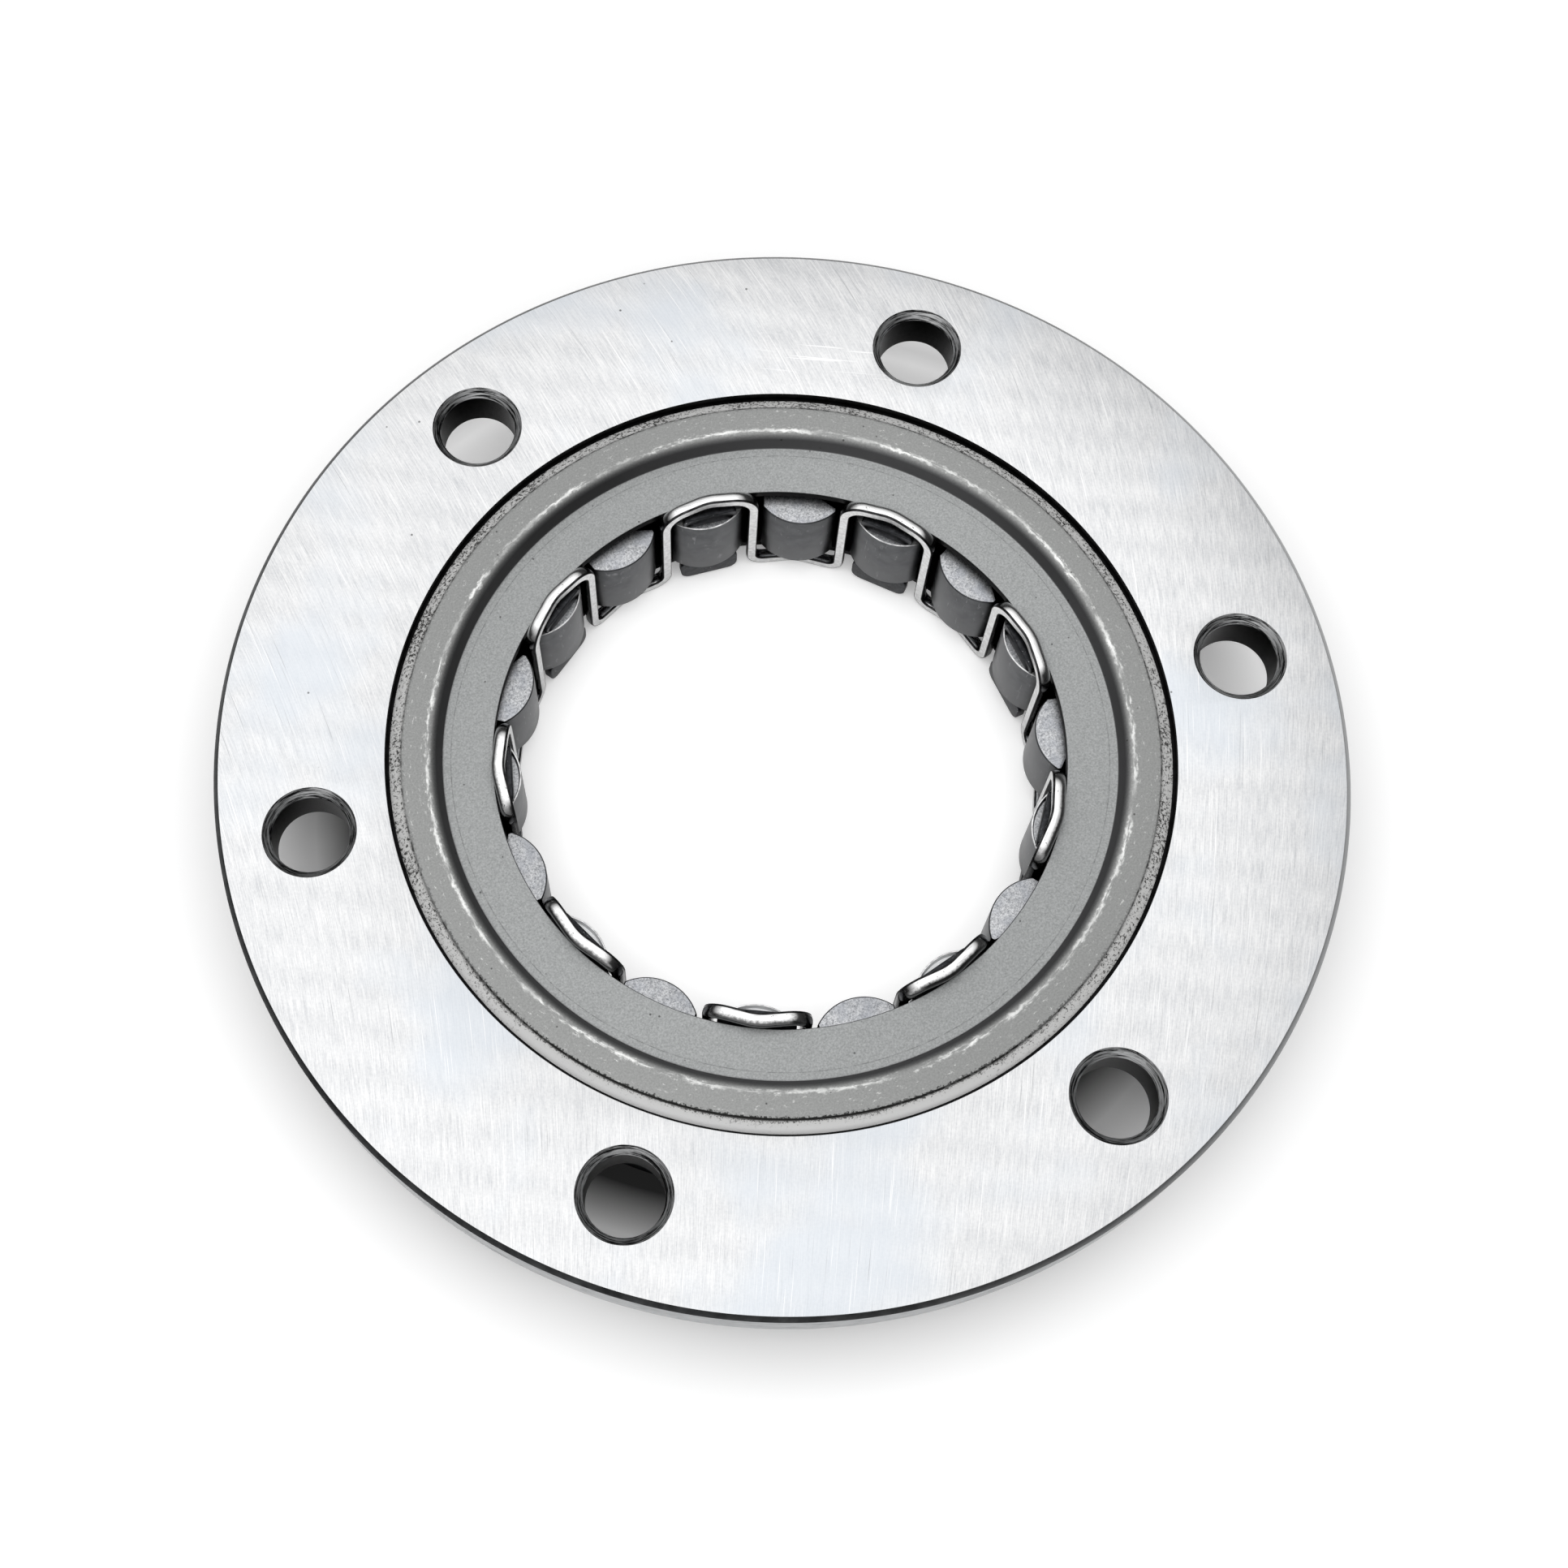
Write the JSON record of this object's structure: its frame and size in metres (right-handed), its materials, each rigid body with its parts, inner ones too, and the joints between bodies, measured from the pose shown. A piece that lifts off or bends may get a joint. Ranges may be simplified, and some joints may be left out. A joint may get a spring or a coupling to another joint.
{
  "type": "sprag clutch",
  "caption": "One-way sprag clutch: a flanged outer race with bolt holes, pressed cover rings, and a ring of sprags threaded by a zigzag wire spring.",
  "frame": {"origin": "centre of the hub's lower face, on the clutch axis", "axes": "+Z along the clutch axis, from the hub towards the flange's top face; +X through a bolt hole"},
  "size_m": [0.124, 0.124, 0.0175],
  "materials": {
    "ground_steel": "ground",
    "pressed_steel": "satin",
    "spring_wire": "polished",
    "tongue_sprag_steel": "satin",
    "plain_sprag_steel": "satin"
  },
  "bodies": {
    "outer_race": {"outer_race_flange": "ground_steel", "front_cover_ring": "pressed_steel", "rear_cover_ring": "pressed_steel"},
    "sprag_cage": {"meander_spring": "spring_wire"},
    "sprag_01": {"sprag_01": "tongue_sprag_steel"},
    "sprag_02": {"sprag_02": "plain_sprag_steel"},
    "sprag_03": {"sprag_03": "tongue_sprag_steel"},
    "sprag_04": {"sprag_04": "plain_sprag_steel"},
    "sprag_05": {"sprag_05": "tongue_sprag_steel"},
    "sprag_06": {"sprag_06": "plain_sprag_steel"},
    "sprag_07": {"sprag_07": "tongue_sprag_steel"},
    "sprag_08": {"sprag_08": "plain_sprag_steel"},
    "sprag_09": {"sprag_09": "tongue_sprag_steel"},
    "sprag_10": {"sprag_10": "plain_sprag_steel"},
    "sprag_11": {"sprag_11": "tongue_sprag_steel"},
    "sprag_12": {"sprag_12": "plain_sprag_steel"},
    "sprag_13": {"sprag_13": "tongue_sprag_steel"},
    "sprag_14": {"sprag_14": "plain_sprag_steel"},
    "sprag_15": {"sprag_15": "tongue_sprag_steel"},
    "sprag_16": {"sprag_16": "plain_sprag_steel"},
    "sprag_17": {"sprag_17": "tongue_sprag_steel"},
    "sprag_18": {"sprag_18": "plain_sprag_steel"}
  },
  "joints": [
    {"name": "spring_overrun", "type": "hinge", "parent": "outer_race", "child": "sprag_cage", "pos_m": [0, 0, 0.00875], "axis": [0, 0, 1], "continuous": true},
    {"name": "sprag_01_rock", "type": "hinge", "parent": "sprag_cage", "child": "sprag_01", "pos_m": [0.03162, 0.00856, 0.00875], "axis": [0, 0, 1], "range_deg": [-4, 6], "stiffness_Nm_per_rad": 0.01},
    {"name": "sprag_02_rock", "type": "hinge", "parent": "sprag_cage", "child": "sprag_02", "pos_m": [0.03264, -0.00277, 0.00875], "axis": [0, 0, 1], "range_deg": [-4, 6], "stiffness_Nm_per_rad": 0.01},
    {"name": "sprag_03_rock", "type": "hinge", "parent": "sprag_cage", "child": "sprag_03", "pos_m": [0.02973, -0.01377, 0.00875], "axis": [0, 0, 1], "range_deg": [-4, 6], "stiffness_Nm_per_rad": 0.01},
    {"name": "sprag_04_rock", "type": "hinge", "parent": "sprag_cage", "child": "sprag_04", "pos_m": [0.02323, -0.0231, 0.00875], "axis": [0, 0, 1], "range_deg": [-4, 6], "stiffness_Nm_per_rad": 0.01},
    {"name": "sprag_05_rock", "type": "hinge", "parent": "sprag_cage", "child": "sprag_05", "pos_m": [0.01392, -0.02965, 0.00875], "axis": [0, 0, 1], "range_deg": [-4, 6], "stiffness_Nm_per_rad": 0.01},
    {"name": "sprag_06_rock", "type": "hinge", "parent": "sprag_cage", "child": "sprag_06", "pos_m": [0.00294, -0.03263, 0.00875], "axis": [0, 0, 1], "range_deg": [-4, 6], "stiffness_Nm_per_rad": 0.01},
    {"name": "sprag_07_rock", "type": "hinge", "parent": "sprag_cage", "child": "sprag_07", "pos_m": [-0.0084, -0.03167, 0.00875], "axis": [0, 0, 1], "range_deg": [-4, 6], "stiffness_Nm_per_rad": 0.01},
    {"name": "sprag_08_rock", "type": "hinge", "parent": "sprag_cage", "child": "sprag_08", "pos_m": [-0.01872, -0.02688, 0.00875], "axis": [0, 0, 1], "range_deg": [-4, 6], "stiffness_Nm_per_rad": 0.01},
    {"name": "sprag_09_rock", "type": "hinge", "parent": "sprag_cage", "child": "sprag_09", "pos_m": [-0.02679, -0.01886, 0.00875], "axis": [0, 0, 1], "range_deg": [-4, 6], "stiffness_Nm_per_rad": 0.01},
    {"name": "sprag_10_rock", "type": "hinge", "parent": "sprag_cage", "child": "sprag_10", "pos_m": [-0.03162, -0.00856, 0.00875], "axis": [0, 0, 1], "range_deg": [-4, 6], "stiffness_Nm_per_rad": 0.01},
    {"name": "sprag_11_rock", "type": "hinge", "parent": "sprag_cage", "child": "sprag_11", "pos_m": [-0.03264, 0.00277, 0.00875], "axis": [0, 0, 1], "range_deg": [-4, 6], "stiffness_Nm_per_rad": 0.01},
    {"name": "sprag_12_rock", "type": "hinge", "parent": "sprag_cage", "child": "sprag_12", "pos_m": [-0.02973, 0.01377, 0.00875], "axis": [0, 0, 1], "range_deg": [-4, 6], "stiffness_Nm_per_rad": 0.01},
    {"name": "sprag_13_rock", "type": "hinge", "parent": "sprag_cage", "child": "sprag_13", "pos_m": [-0.02323, 0.0231, 0.00875], "axis": [0, 0, 1], "range_deg": [-4, 6], "stiffness_Nm_per_rad": 0.01},
    {"name": "sprag_14_rock", "type": "hinge", "parent": "sprag_cage", "child": "sprag_14", "pos_m": [-0.01392, 0.02965, 0.00875], "axis": [0, 0, 1], "range_deg": [-4, 6], "stiffness_Nm_per_rad": 0.01},
    {"name": "sprag_15_rock", "type": "hinge", "parent": "sprag_cage", "child": "sprag_15", "pos_m": [-0.00294, 0.03263, 0.00875], "axis": [0, 0, 1], "range_deg": [-4, 6], "stiffness_Nm_per_rad": 0.01},
    {"name": "sprag_16_rock", "type": "hinge", "parent": "sprag_cage", "child": "sprag_16", "pos_m": [0.0084, 0.03167, 0.00875], "axis": [0, 0, 1], "range_deg": [-4, 6], "stiffness_Nm_per_rad": 0.01},
    {"name": "sprag_17_rock", "type": "hinge", "parent": "sprag_cage", "child": "sprag_17", "pos_m": [0.01872, 0.02688, 0.00875], "axis": [0, 0, 1], "range_deg": [-4, 6], "stiffness_Nm_per_rad": 0.01},
    {"name": "sprag_18_rock", "type": "hinge", "parent": "sprag_cage", "child": "sprag_18", "pos_m": [0.02679, 0.01886, 0.00875], "axis": [0, 0, 1], "range_deg": [-4, 6], "stiffness_Nm_per_rad": 0.01}
  ],
  "couplings": [
    {"joint": "sprag_02_rock", "follows": "sprag_01_rock", "ratio": 1},
    {"joint": "sprag_03_rock", "follows": "sprag_01_rock", "ratio": 1},
    {"joint": "sprag_04_rock", "follows": "sprag_01_rock", "ratio": 1},
    {"joint": "sprag_05_rock", "follows": "sprag_01_rock", "ratio": 1},
    {"joint": "sprag_06_rock", "follows": "sprag_01_rock", "ratio": 1},
    {"joint": "sprag_07_rock", "follows": "sprag_01_rock", "ratio": 1},
    {"joint": "sprag_08_rock", "follows": "sprag_01_rock", "ratio": 1},
    {"joint": "sprag_09_rock", "follows": "sprag_01_rock", "ratio": 1},
    {"joint": "sprag_10_rock", "follows": "sprag_01_rock", "ratio": 1},
    {"joint": "sprag_11_rock", "follows": "sprag_01_rock", "ratio": 1},
    {"joint": "sprag_12_rock", "follows": "sprag_01_rock", "ratio": 1},
    {"joint": "sprag_13_rock", "follows": "sprag_01_rock", "ratio": 1},
    {"joint": "sprag_14_rock", "follows": "sprag_01_rock", "ratio": 1},
    {"joint": "sprag_15_rock", "follows": "sprag_01_rock", "ratio": 1},
    {"joint": "sprag_16_rock", "follows": "sprag_01_rock", "ratio": 1},
    {"joint": "sprag_17_rock", "follows": "sprag_01_rock", "ratio": 1},
    {"joint": "sprag_18_rock", "follows": "sprag_01_rock", "ratio": 1}
  ]
}
